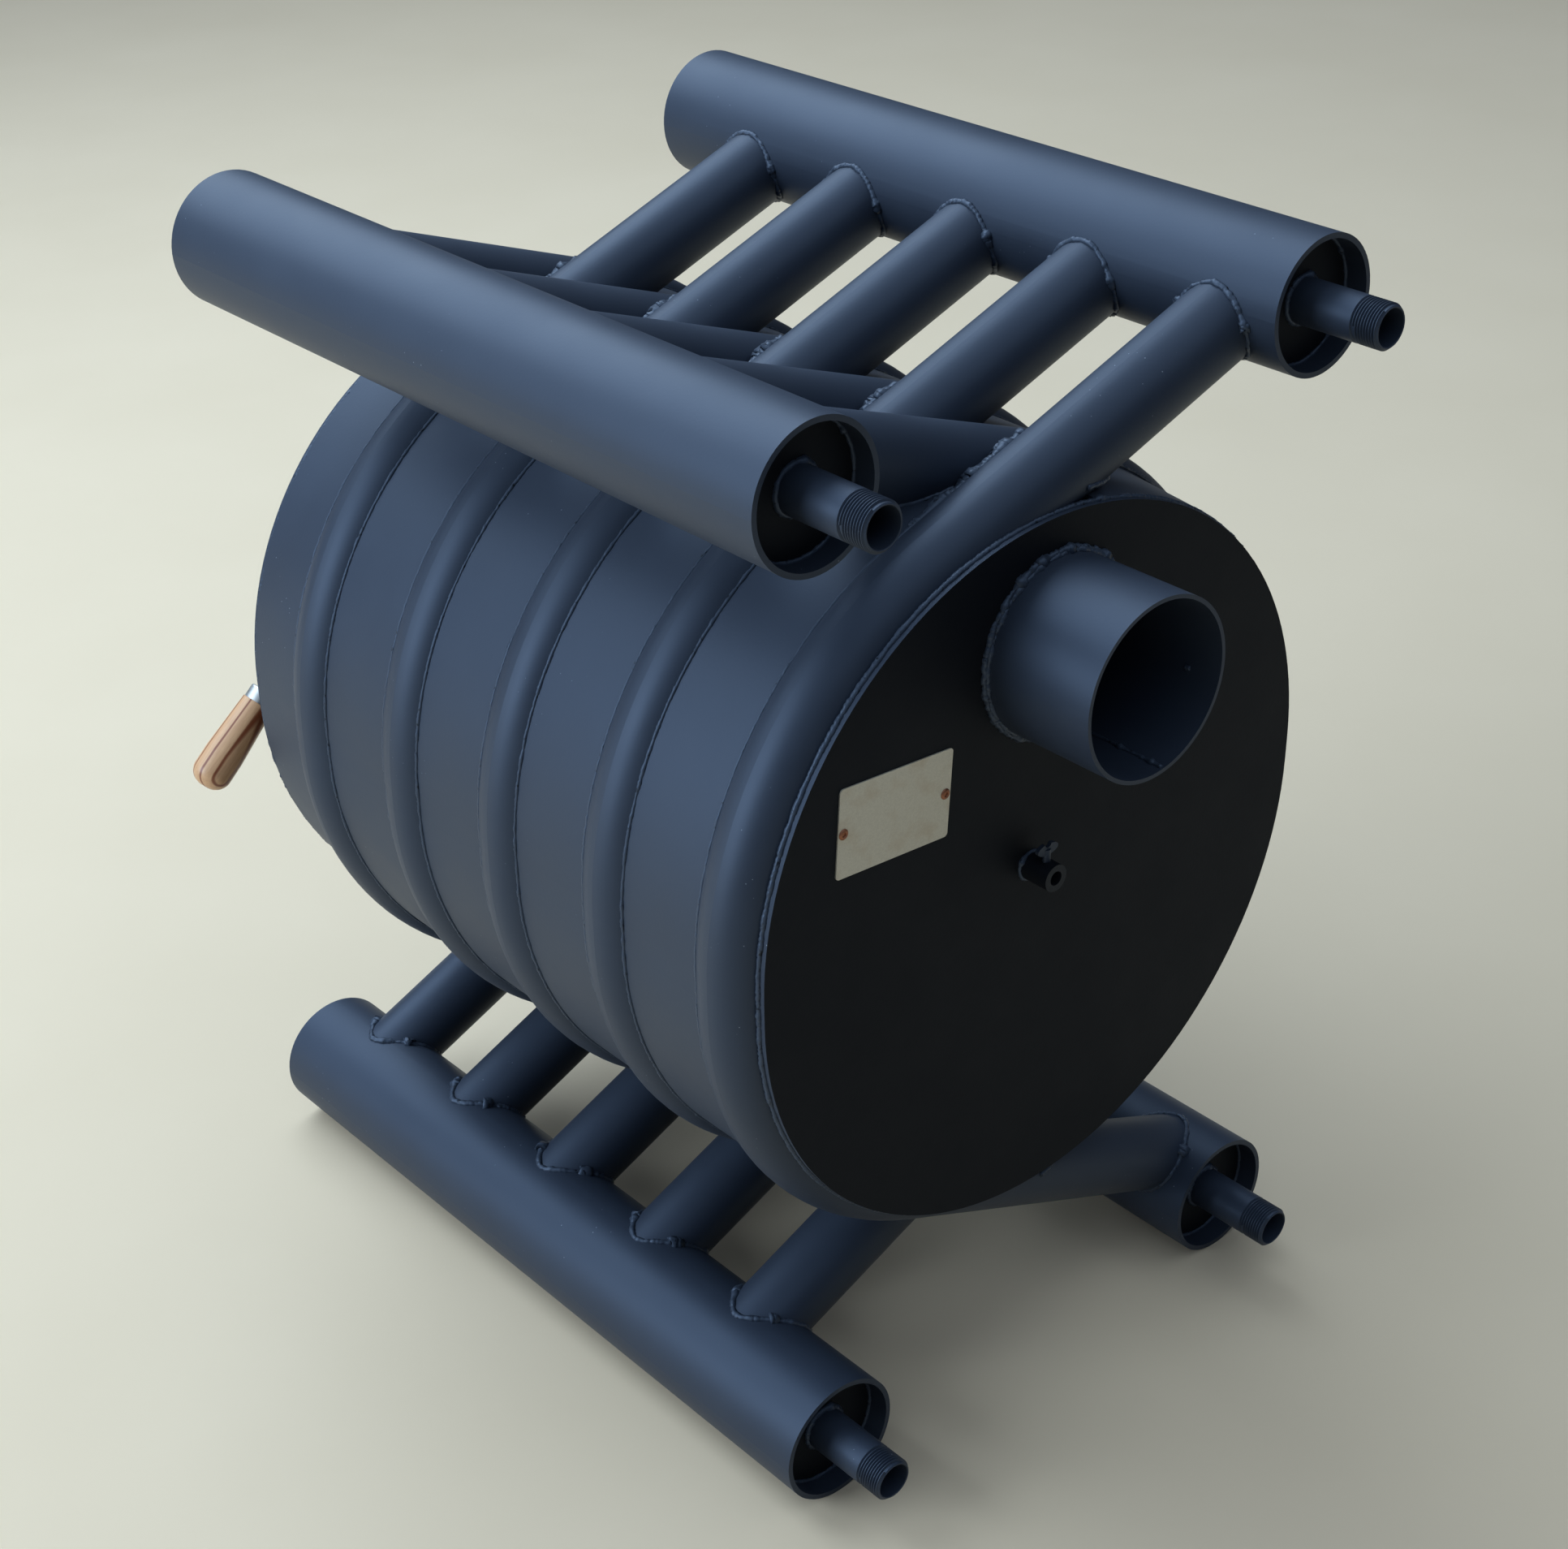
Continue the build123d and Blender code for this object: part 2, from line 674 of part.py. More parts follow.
# Latch stud: boss on the door, shoulder and head that hold the lever
lever_back_y = door_front_y - latch_boss_length - latch_face_gap
lever_front_y = lever_back_y - latch_plate_thickness
head_back_y = lever_front_y - latch_face_gap
with BuildPart() as latch_stud:
    with BuildSketch(upright(door_front_y)):
        with Locations((latch_x, latch_level_z)):
            Circle(latch_boss_diameter / 2)
    extrude(amount=latch_boss_length)
    with BuildSketch(upright(door_front_y)):
        with Locations((latch_x, latch_level_z)):
            Circle(latch_stud_diameter / 2)
    extrude(amount=door_front_y - head_back_y)
    with BuildSketch(upright(head_back_y)):
        with Locations((latch_x, latch_level_z)):
            RegularPolygon(latch_head_diameter / 2, 6)
    extrude(amount=latch_head_height)
save(latch_stud.part, "latch_stud")

# Latch lever: hub plate with a tongue, and the rod that carries the grip
lever_direction = (cos(radians(lever_angle)), 0, sin(radians(lever_angle)))


def along_lever(distance):
    return Plane(
        origin=(
            latch_x + distance * lever_direction[0],
            latch_y,
            latch_level_z + distance * lever_direction[2],
        ),
        z_dir=lever_direction,
    )


with BuildPart() as latch_lever:
    with BuildSketch(upright(lever_back_y)):
        with Locations((latch_x, latch_level_z)):
            Circle(latch_hub_radius)
        tip_x = latch_x + tongue_length * cos(radians(tongue_angle))
        tip_z = latch_level_z + tongue_length * sin(radians(tongue_angle))
        with Locations(Location(((latch_x + tip_x) / 2, (latch_level_z + tip_z) / 2), tongue_angle)):
            Rectangle(tongue_length, tongue_width)
    extrude(amount=latch_plate_thickness)
    with BuildSketch(along_lever(lever_rod_start)):
        Circle(lever_rod_diameter / 2)
    extrude(amount=ferrule_start + lever_tang - lever_rod_start)
    with BuildSketch(upright(door_front_y)):
        with Locations((latch_x, latch_level_z)):
            Circle(latch_stud_diameter / 2 + latch_running_gap)
    extrude(amount=2 * latch_boss_length, mode=Mode.SUBTRACT)
    with BuildSketch(upright(lever_back_y)):
        with Locations((latch_x, latch_level_z)):
            Circle(latch_boss_diameter / 2 + latch_face_gap)
    extrude(amount=-lever_rod_diameter, mode=Mode.SUBTRACT)
    with BuildSketch(upright(lever_front_y)):
        with Locations((latch_x, latch_level_z)):
            Circle(latch_head_diameter / 2 + latch_face_gap)
    extrude(amount=lever_rod_diameter, mode=Mode.SUBTRACT)
save(latch_lever.part, "latch_lever")

# Ferrule cup at the neck of the grip
rod_hole = lever_rod_diameter / 2 + weld_gap
with BuildPart() as grip_ferrule:
    with BuildSketch(along_lever(ferrule_start)):
        Circle(ferrule_diameter / 2)
    extrude(amount=ferrule_length)
    lever_axis = Axis(along_lever(0).origin, lever_direction)
    fillet(grip_ferrule.edges().sort_by(lever_axis)[0], radius=ferrule_edge)
    with BuildSketch(along_lever(ferrule_start + ferrule_wall)):
        Circle(ferrule_diameter / 2 - ferrule_wall)
    extrude(amount=ferrule_length, mode=Mode.SUBTRACT)
    with BuildSketch(along_lever(ferrule_start)):
        Circle(rod_hole)
    extrude(amount=ferrule_wall, mode=Mode.SUBTRACT)
save(grip_ferrule.part, "grip_ferrule")

# Turned wooden grip: neck in the ferrule, shoulder against it, swelling body, rounded end
neck_radius = ferrule_diameter / 2 - ferrule_wall - weld_gap
grip_start = ferrule_start + ferrule_wall + weld_gap
grip_plane = Plane(origin=along_lever(grip_start).origin, x_dir=lever_direction, z_dir=(0, 1, 0))
grip_axis = Axis(grip_plane.origin, lever_direction)
neck_length = ferrule_length - ferrule_wall
tang_depth = ferrule_start + lever_tang - grip_start + weld_gap
grip_radius = grip_diameter / 2
with BuildPart() as latch_grip:
    with BuildSketch(grip_plane):
        with BuildLine():
            neck = Polyline(
                (tang_depth, 0),
                (tang_depth, rod_hole),
                (0, rod_hole),
                (0, neck_radius),
                (neck_length, neck_radius),
                (neck_length, grip_shoulder_diameter / 2),
            )
            swell = Line(neck @ 1, (grip_swell, grip_radius))
            barrel = Line(swell @ 1, (grip_length - grip_end_radius, grip_radius))
            rounding = Line((grip_length, grip_radius - grip_end_radius), (grip_length, 0))
            CenterArc(
                (grip_length - grip_end_radius, grip_radius - grip_end_radius), grip_end_radius, 90, -90
            )
            Line(rounding @ 1, neck @ 0)
        make_face()
    revolve(axis=grip_axis)
save(latch_grip.part, "latch_grip")

# Keeper: a bent flat whose lip the tongue turns behind
keeper_lip_y = lever_front_y - keeper_face_gap
with BuildPart() as latch_keeper:
    with BuildSketch(Plane.XY.offset(latch_level_z - keeper_height / 2)):
        with Locations((keeper_x, front_y)):
            Rectangle(keeper_sheet, front_y - keeper_lip_y + keeper_sheet, align=(Align.MIN, Align.MAX))
        with Locations((keeper_x + keeper_sheet, keeper_lip_y)):
            Rectangle(keeper_lip, keeper_sheet, align=(Align.MAX, Align.MAX))
    extrude(amount=keeper_height)
save(latch_keeper.part, "latch_keeper")
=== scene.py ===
import json
import math
import random

import bmesh
import bpy
from mathutils import Matrix, Vector, noise


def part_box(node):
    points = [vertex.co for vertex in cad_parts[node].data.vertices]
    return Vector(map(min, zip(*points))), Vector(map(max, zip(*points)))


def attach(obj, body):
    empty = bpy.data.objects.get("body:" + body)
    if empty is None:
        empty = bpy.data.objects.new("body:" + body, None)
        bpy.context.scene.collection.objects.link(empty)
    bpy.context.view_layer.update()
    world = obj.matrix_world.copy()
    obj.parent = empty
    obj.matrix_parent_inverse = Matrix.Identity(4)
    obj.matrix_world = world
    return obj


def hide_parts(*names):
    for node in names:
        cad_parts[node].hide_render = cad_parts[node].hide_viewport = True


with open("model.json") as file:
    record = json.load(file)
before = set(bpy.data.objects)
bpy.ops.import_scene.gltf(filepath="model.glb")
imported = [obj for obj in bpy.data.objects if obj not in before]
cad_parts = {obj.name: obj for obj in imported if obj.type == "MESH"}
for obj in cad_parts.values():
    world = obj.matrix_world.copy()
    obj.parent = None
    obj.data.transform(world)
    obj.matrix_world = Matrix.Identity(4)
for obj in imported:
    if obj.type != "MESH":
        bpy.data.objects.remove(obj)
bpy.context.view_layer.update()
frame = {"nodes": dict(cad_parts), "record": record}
nodes = frame["nodes"]

# Sizes of the stove, in metres. What the frame can tell is read from it.
MM = 0.001
SIDES = {"right": 1, "left": -1}
TUBES_PER_SIDE = 5
BEND_RADIUS = 254 * MM
# A lower tube's axis passes this far from the axis of the collector that it opens into
LOWER_AIM = 18 * MM
FLUE_WALL = 3 * MM
NIPPLE_WALL = 3.2 * MM
# One inch taper pipe thread has eleven turns to the inch
PIPE_THREAD_PITCH = 2.309 * MM
PIPE_THREAD_DEPTH = 1.48 * MM
PIPE_THREAD_LENGTH = 20 * MM


def centre_of(node):
    low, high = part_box(node)
    return (low + high) / 2


plate_low, plate_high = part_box("rear_plate")
front_plate_low, front_plate_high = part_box("front_plate")
tube_low, tube_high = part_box("right_tube_1")
rear_y = plate_high.y
rear_inner_y = plate_low.y
front_inner_y = front_plate_high.y
front_y = front_plate_low.y
plate_radius = plate_high.x
plate_side_run = (plate_high.z - plate_low.z) - 2 * plate_radius
body_z = (plate_high.z + plate_low.z) / 2
arc_top_z = body_z + plate_side_run / 2
arc_bottom_z = body_z - plate_side_run / 2
strip_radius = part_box("right_strip_2")[1].x
tube_radius = (tube_high.y - tube_low.y) / 2


# Camera, lights and floor

# The photograph's camera, solved from given points. Its place is from the middle of the rear plate's
# upper arc, its turns are in degrees, and the principal point is in the photograph's own pixels.
CAMERA_OFFSET = Vector((1.2081, 1.1079, 1.0048))
CAMERA_YAW = math.radians(139.49)
CAMERA_PITCH = math.radians(31.02)
CAMERA_ROLL = math.radians(-1.17)
IMAGE_WIDTH = 1932
IMAGE_HEIGHT = 1908
FOCAL_PIXELS = 3325.1
PRINCIPAL_X = 942.2
PRINCIPAL_Y = 1025.9
SENSOR_WIDTH = 36.0

FLOOR_REACH = 8.0
# Softboxes aimed at the stove: place and size in metres, power in watts, colour
SOFTBOXES = {
    "sky_softbox": ((0.2, -2.4, 3.3), (4.0, 3.0), 165, (0.64, 0.81, 1.0)),
    "left_softbox": ((3.4, -1.1, 1.7), (2.2, 2.4), 125, (0.66, 0.82, 1.0)),
    "ceiling_softbox": ((0.0, 0.0, 9.0), (20.0, 20.0), 1000, (0.68, 0.83, 1.0)),
}


def make_camera():
    forward = Vector((
        -math.sin(CAMERA_YAW) * math.cos(CAMERA_PITCH),
        math.cos(CAMERA_YAW) * math.cos(CAMERA_PITCH),
        -math.sin(CAMERA_PITCH),
    ))
    level_right = Vector((math.cos(CAMERA_YAW), math.sin(CAMERA_YAW), 0))
    level_up = level_right.cross(forward)
    right = math.cos(CAMERA_ROLL) * level_right + math.sin(CAMERA_ROLL) * level_up
    up = math.cos(CAMERA_ROLL) * level_up - math.sin(CAMERA_ROLL) * level_right
    turn = Matrix((right, up, -forward)).transposed()
    data = bpy.data.cameras.new("camera")
    data.sensor_width = SENSOR_WIDTH
    data.lens = SENSOR_WIDTH * FOCAL_PIXELS / IMAGE_WIDTH
    data.shift_x = (IMAGE_WIDTH / 2 - PRINCIPAL_X) / IMAGE_WIDTH
    data.shift_y = (PRINCIPAL_Y - IMAGE_HEIGHT / 2) / IMAGE_WIDTH
    camera = bpy.data.objects.new("camera", data)
    place = Vector((0, rear_y, arc_top_z)) + CAMERA_OFFSET
    camera.matrix_world = Matrix.Translation(place) @ turn.to_4x4()
    bpy.context.scene.collection.objects.link(camera)
    bpy.context.scene.camera = camera


def make_softbox(name, place, size, power, colour):
    data = bpy.data.lights.new(name, "AREA")
    data.shape = "RECTANGLE"
    data.size, data.size_y = size
    data.energy = power
    data.color = colour
    light = bpy.data.objects.new(name, data)
    light.location = place
    aim = Vector((0, 0, body_z)) - Vector(place)
    light.rotation_euler = aim.to_track_quat("-Z", "Y").to_euler()
    bpy.context.scene.collection.objects.link(light)


def linear(hex_colour):
    # An sRGB hex colour as linear channels, with full alpha
    channels = [int(hex_colour[i:i + 2], 16) / 255 for i in (1, 3, 5)]
    curve = [c / 12.92 if c <= 0.04045 else ((c + 0.055) / 1.055) ** 2.4 for c in channels]
    return (*curve, 1.0)


def add_node(tree, kind, values=None, links=None, **settings):
    # One node, with its socket values, its incoming links and its settings
    made = tree.nodes.new(kind)
    for name, value in settings.items():
        setattr(made, name, value)
    for name, value in (values or {}).items():
        made.inputs[name].default_value = value
    for name, source in (links or {}).items():
        tree.links.new(source, made.inputs[name])
    return made


def make_world():
    # A faint cool fill from all round, and a plain pale backdrop where the camera sees past the floor
    world = bpy.data.worlds.new("studio")
    world.use_nodes = True
    tree = world.node_tree
    tree.nodes.clear()
    rays = add_node(tree, "ShaderNodeLightPath")
    ambient = add_node(tree, "ShaderNodeBackground", {"Color": linear("#bcd3f7"), "Strength": 0.13})
    backdrop = add_node(tree, "ShaderNodeBackground", {"Color": linear("#e9e9e6"), "Strength": 1.0})
    mix = add_node(
        tree, "ShaderNodeMixShader", None,
        {0: rays.outputs["Is Camera Ray"], 1: ambient.outputs[0], 2: backdrop.outputs[0]},
    )
    add_node(tree, "ShaderNodeOutputWorld", None, {"Surface": mix.outputs[0]})
    bpy.context.scene.world = world


def make_floor():
    bm = bmesh.new()
    bmesh.ops.create_grid(bm, x_segments=1, y_segments=1, size=FLOOR_REACH)
    mesh = bpy.data.meshes.new("floor")
    bm.to_mesh(mesh)
    bm.free()
    floor = bpy.data.objects.new("floor", mesh)
    bpy.context.scene.collection.objects.link(floor)
    floor.data.materials.append(pale_concrete())


# Materials

def start_material(name):
    material = bpy.data.materials.new(name)
    material.use_nodes = True
    tree = material.node_tree
    tree.nodes.clear()
    place = add_node(tree, "ShaderNodeTexCoord").outputs["Object"]
    return material, tree, place


def finish_material(tree, values, links):
    shader = add_node(tree, "ShaderNodeBsdfPrincipled", values, links)
    add_node(tree, "ShaderNodeOutputMaterial", None, {"Surface": shader.outputs[0]})


def scale_for(size_mm):
    # Texture scale at which one feature of a pattern measures this many millimetres
    return 1000 / size_mm


def pale_concrete():
    # Pale trowelled concrete: flat and light, so that the dark stove and its shadow stand out
    material, tree, place = start_material("pale_concrete_floor")
    cloud = add_node(tree, "ShaderNodeTexNoise", {"Scale": 3.0, "Detail": 4.0}, {"Vector": place})
    colour = add_node(
        tree, "ShaderNodeMix",
        {"A": linear("#cebb9e"), "B": linear("#d6c3a7")},
        {"Factor": cloud.outputs["Fac"]}, data_type="RGBA",
    )
    finish_material(tree, {"Roughness": 0.9}, {"Base Color": colour.outputs["Result"]})
    return material


def heat_paint(
    name, tones=("#242a35", "#2c333f"), peel_mm=2.4, peel_height_mm=0.05, wave_height_mm=0.0,
    roughness=0.5, shine=0.5, pores=False, painted_shade_on_faces=False,
):
    # Heat-resistant silicone paint, sprayed matte: near black, with fine orange peel. The blue cast of its
    # default tones and its blue specular tint are a painted sky reflection, which gives it the soft cool
    # sheen
    material, tree, place = start_material(name)
    patch = add_node(
        tree, "ShaderNodeTexNoise", {"Scale": scale_for(75), "Detail": 3.0, "Roughness": 0.6},
        {"Vector": place},
    )
    base = add_node(
        tree, "ShaderNodeMix",
        {"A": linear(tones[0]), "B": linear(tones[1])},
        {"Factor": patch.outputs["Fac"]}, data_type="RGBA",
    )
    # Grains of dust and overspray, under a millimetre wide and one to a 9 mm cell, in loose drifts
    grain = add_node(
        tree, "ShaderNodeTexVoronoi", {"Scale": scale_for(9), "Randomness": 1.0}, {"Vector": place}
    )
    speck = add_node(
        tree, "ShaderNodeMapRange",
        {"From Min": 0.035, "From Max": 0.06, "To Min": 1.0, "To Max": 0.0},
        {"Value": grain.outputs["Distance"]},
    )
    drift = add_node(
        tree, "ShaderNodeTexNoise", {"Scale": scale_for(120), "Detail": 2.0}, {"Vector": place}
    )
    drift_edge = add_node(
        tree, "ShaderNodeMapRange", {"From Min": 0.54, "From Max": 0.66}, {"Value": drift.outputs["Fac"]}
    )
    speckled = add_node(
        tree, "ShaderNodeMath", None,
        {0: speck.outputs[0], 1: drift_edge.outputs[0]}, operation="MULTIPLY",
    )
    dusted = add_node(
        tree, "ShaderNodeMix", {"B": linear("#7c838b")},
        {"Factor": speckled.outputs[0], "A": base.outputs["Result"]}, data_type="RGBA",
    )
    colour = dusted
    if pores:
        # Pinholes that the spray didn't wet, some millimetres apart
        pit = add_node(
            tree, "ShaderNodeTexNoise", {"Scale": scale_for(3.5), "Detail": 2.0}, {"Vector": place}
        )
        hole = add_node(
            tree, "ShaderNodeMapRange", {"From Min": 0.62, "From Max": 0.7},
            {"Value": pit.outputs["Fac"]},
        )
        colour = add_node(
            tree, "ShaderNodeMix", {"B": linear("#0c0c0d")},
            {"Factor": hole.outputs[0], "A": dusted.outputs["Result"]}, data_type="RGBA",
        )
    gloss = add_node(
        tree, "ShaderNodeMapRange",
        {"To Min": roughness - 0.05, "To Max": roughness + 0.07}, {"Value": patch.outputs["Fac"]},
    )
    peel = add_node(
        tree, "ShaderNodeTexNoise", {"Scale": scale_for(peel_mm), "Detail": 2.0}, {"Vector": place}
    )
    bump = add_node(
        tree, "ShaderNodeBump", {"Strength": 1.0, "Distance": peel_height_mm * MM},
        {"Height": peel.outputs["Fac"]},
    )
    if wave_height_mm:
        wave = add_node(
            tree, "ShaderNodeTexNoise", {"Scale": scale_for(60), "Detail": 1.0}, {"Vector": place}
        )
        bump = add_node(
            tree, "ShaderNodeBump", {"Strength": 1.0, "Distance": wave_height_mm * MM},
            {"Height": wave.outputs["Fac"], "Normal": bump.outputs[0]},
        )
    links = {"Roughness": gloss.outputs[0], "Normal": bump.outputs[0]}
    if painted_shade_on_faces:
        # Painted shade: broad faces turned along the Y axis are coloured near black, with a lower specular
        # level than their rims
        facing = add_node(tree, "ShaderNodeTexCoord").outputs["Normal"]
        normal = add_node(tree, "ShaderNodeSeparateXYZ", None, {0: facing})
        turned = add_node(tree, "ShaderNodeMath", None, {0: normal.outputs[1]}, operation="ABSOLUTE")
        face = add_node(
            tree, "ShaderNodeMapRange", {"From Min": 0.6, "From Max": 0.8}, {"Value": turned.outputs[0]}
        )
        colour = add_node(
            tree, "ShaderNodeMix", {"B": linear("#0d0d0f")},
            {"Factor": face.outputs[0], "A": colour.outputs["Result"]}, data_type="RGBA",
        )
        level = add_node(
            tree, "ShaderNodeMapRange", {"To Min": shine, "To Max": 0.2}, {"Value": face.outputs[0]}
        )
        links["Specular IOR Level"] = level.outputs[0]
    links["Base Color"] = colour.outputs["Result"]
    # Painted sky reflection: the specular tint is blue
    values = {
        "Metallic": 0.0, "IOR": 1.5, "Specular IOR Level": shine, "Specular Tint": linear("#cbe0ff"),
    }
    finish_material(tree, values, links)
    return material


def dulled_aluminium():
    # Rolled aluminium sheet, dulled outdoors: warm grey with fine speckles and faint tan smears
    material, tree, place = start_material("dulled_aluminium_sheet")
    speckle = add_node(
        tree, "ShaderNodeTexNoise", {"Scale": scale_for(1.1), "Detail": 3.0, "Roughness": 0.7},
        {"Vector": place},
    )
    metal = add_node(
        tree, "ShaderNodeMix",
        {"A": linear("#b3aea0"), "B": linear("#dcd7c8")},
        {"Factor": speckle.outputs["Fac"]}, data_type="RGBA",
    )
    smear = add_node(
        tree, "ShaderNodeTexNoise", {"Scale": scale_for(22), "Detail": 4.0}, {"Vector": place}
    )
    smear_edge = add_node(
        tree, "ShaderNodeMapRange",
        {"From Min": 0.5, "From Max": 0.75, "To Max": 0.55}, {"Value": smear.outputs["Fac"]},
    )
    colour = add_node(
        tree, "ShaderNodeMix", {"B": linear("#b3a086")},
        {"Factor": smear_edge.outputs[0], "A": metal.outputs["Result"]}, data_type="RGBA",
    )
    rough = add_node(
        tree, "ShaderNodeMapRange", {"To Min": 0.38, "To Max": 0.62}, {"Value": speckle.outputs["Fac"]}
    )
    bump = add_node(
        tree, "ShaderNodeBump", {"Strength": 0.6, "Distance": 0.04 * MM},
        {"Height": speckle.outputs["Fac"]},
    )
    finish_material(
        tree, {"Metallic": 0.5},
        {"Base Color": colour.outputs["Result"], "Roughness": rough.outputs[0], "Normal": bump.outputs[0]},
    )
    return material


def worn_metal(name, dark, light, roughness, grain_mm=0.8):
    # Bare or plated metal with a mottled surface: two tones and an uneven gloss
    material, tree, place = start_material(name)
    mottle = add_node(
        tree, "ShaderNodeTexNoise", {"Scale": scale_for(6 * grain_mm), "Detail": 5.0, "Roughness": 0.65},
        {"Vector": place},
    )
    colour = add_node(
        tree, "ShaderNodeMix", {"A": linear(dark), "B": linear(light)},
        {"Factor": mottle.outputs["Fac"]}, data_type="RGBA",
    )
    rough = add_node(
        tree, "ShaderNodeMapRange", {"To Min": roughness - 0.1, "To Max": roughness + 0.12},
        {"Value": mottle.outputs["Fac"]},
    )
    grain = add_node(tree, "ShaderNodeTexNoise", {"Scale": scale_for(grain_mm)}, {"Vector": place})
    bump = add_node(
        tree, "ShaderNodeBump", {"Strength": 0.5, "Distance": 0.03 * MM}, {"Height": grain.outputs["Fac"]}
    )
    finish_material(
        tree, {"Metallic": 1.0},
        {"Base Color": colour.outputs["Result"], "Roughness": rough.outputs[0], "Normal": bump.outputs[0]},
    )
    return material


def turned_beech():
    # Turned beech, thinly varnished: pinkish tan with fine streaks along the grip and one dark vein
    material, tree, place = start_material("turned_beech_grip")
    lever = centre_of("latch_grip") - centre_of("latch_stud")
    lean = math.atan2(lever.x, -lever.z)
    turn = Matrix.Rotation(lean, 3, "Y")
    offset = -(turn @ centre_of("latch_grip"))
    along = add_node(
        tree, "ShaderNodeMapping", {"Location": offset, "Rotation": (0, lean, 0)}, {"Vector": place}
    )
    fibre = add_node(
        tree, "ShaderNodeMapping", {"Scale": (1.0, 1.0, 0.07)}, {"Vector": along.outputs[0]}
    )
    streak = add_node(
        tree, "ShaderNodeTexNoise", {"Scale": scale_for(2.2), "Detail": 4.0, "Roughness": 0.7},
        {"Vector": fibre.outputs[0]},
    )
    tone = add_node(
        tree, "ShaderNodeMix", {"A": linear("#a87a55"), "B": linear("#d9ae84")},
        {"Factor": streak.outputs["Fac"]}, data_type="RGBA",
    )
    ring = add_node(
        tree, "ShaderNodeTexWave",
        {"Scale": scale_for(30), "Distortion": 2.5, "Detail": 2.0, "Detail Scale": 1.4},
        {"Vector": fibre.outputs[0]}, bands_direction="Y",
    )
    vein = add_node(
        tree, "ShaderNodeMapRange", {"From Min": 0.86, "From Max": 0.99}, {"Value": ring.outputs["Fac"]}
    )
    colour = add_node(
        tree, "ShaderNodeMix", {"B": linear("#7a3f22")},
        {"Factor": vein.outputs[0], "A": tone.outputs["Result"]}, data_type="RGBA",
    )
    bump = add_node(
        tree, "ShaderNodeBump", {"Strength": 0.5, "Distance": 0.08 * MM}, {"Height": streak.outputs["Fac"]}
    )
    finish_material(
        tree, {"Roughness": 0.42, "IOR": 1.5, "Coat Weight": 0.15, "Coat Roughness": 0.3},
        {"Base Color": colour.outputs["Result"], "Normal": bump.outputs[0]},
    )
    return material


def ceramic_rope():
    # Braided ceramic fibre rope: dull off-white, with the braid's small slanted humps
    material, tree, place = start_material("ceramic_fibre_rope")
    braid = add_node(
        tree, "ShaderNodeTexWave", {"Scale": scale_for(6), "Distortion": 1.2, "Detail": 1.0},
        {"Vector": place}, bands_direction="DIAGONAL",
    )
    colour = add_node(
        tree, "ShaderNodeMix", {"A": linear("#8f8c82"), "B": linear("#c9c6bb")},
        {"Factor": braid.outputs["Fac"]}, data_type="RGBA",
    )
    bump = add_node(
        tree, "ShaderNodeBump", {"Strength": 1.0, "Distance": 0.6 * MM}, {"Height": braid.outputs["Fac"]}
    )
    finish_material(
        tree, {"Roughness": 0.95},
        {"Base Color": colour.outputs["Result"], "Normal": bump.outputs[0]},
    )
    return material


make_world()
paint = heat_paint("matte_heat_paint_on_pipe")
sheet_paint = heat_paint("matte_heat_paint_on_rolled_sheet", wave_height_mm=0.35)
# Plates, door and collector caps: the stove paint, with painted shade on their broad faces
plate_paint_and_painted_shade = heat_paint(
    "matte_heat_paint_on_plate_and_painted_shade", peel_height_mm=0.07, roughness=0.6, painted_shade_on_faces=True
)
# Painted shade: the sensor sleeve and wing screw get the stove paint in near-black tones, with less
# specular
small_part_paint_with_painted_shade = heat_paint("matte_heat_paint_on_small_parts_with_painted_shade", ("#101114", "#15161a"), shine=0.3)
# Painted highlight: the weld beads get lighter tones than the stove paint, for the light that they catch
weld_paint_with_painted_highlight = heat_paint(
    "matte_heat_paint_on_weld_with_painted_highlight", ("#2b323e", "#3a4350"),
    peel_mm=1.2, peel_height_mm=0.12, roughness=0.42, pores=True,
)
copper = worn_metal("coppered_steel_rivet", "#8a5a45", "#b57f63", 0.5)

finishes = {
    "stove_paint": paint,
    "scaled_steel": worn_metal("scaled_steel_sheet", "#3a3532", "#57504b", 0.6, grain_mm=1.5),
    "name_plate_metal": dulled_aluminium(),
    "rivet_copper": copper,
    "screw_steel": worn_metal("dull_turned_steel", "#6a6a69", "#8c8c8b", 0.42),
    "zinc_plate": worn_metal("pale_zinc_plating", "#b5b5b2", "#d4d4d0", 0.4),
    "grip_wood": turned_beech(),
    "seal_rope": ceramic_rope(),
}
for subpart in frame["record"]["subparts"]:
    node = subpart["node"]
    finish = finishes[subpart["material_slot"]]
    if "strip" in node:
        finish = sheet_paint
    elif node in ("rear_plate", "front_plate", "door") or node.endswith("_cap"):
        finish = plate_paint_and_painted_shade
    elif node in ("sensor_sleeve", "wing_screw"):
        finish = small_part_paint_with_painted_shade
    nodes[node].data.materials.clear()
    nodes[node].data.materials.append(finish)


# Weld beads

BEAD_SPACING = 1.3 * MM
RIPPLE_LENGTH = 4.0 * MM
SWELL_LENGTH = 11 * MM
FINE_LUMP_LENGTH = 2.8 * MM
FINE_LUMP_HEIGHT = 0.28 * MM
COARSE_LUMP_LENGTH = 6 * MM
COARSE_LUMP_HEIGHT = 0.5 * MM
MERGE_DISTANCE = 0.01 * MM
# Shares of a bead's radius
BEAD_CORE = 0.86
RIPPLE_SHARE = 0.16
SWELL_SHARE = 0.28
BLOB_SHARE = 0.8
BLOB_REACH = 1.5
WANDER_SHARE = 0.1


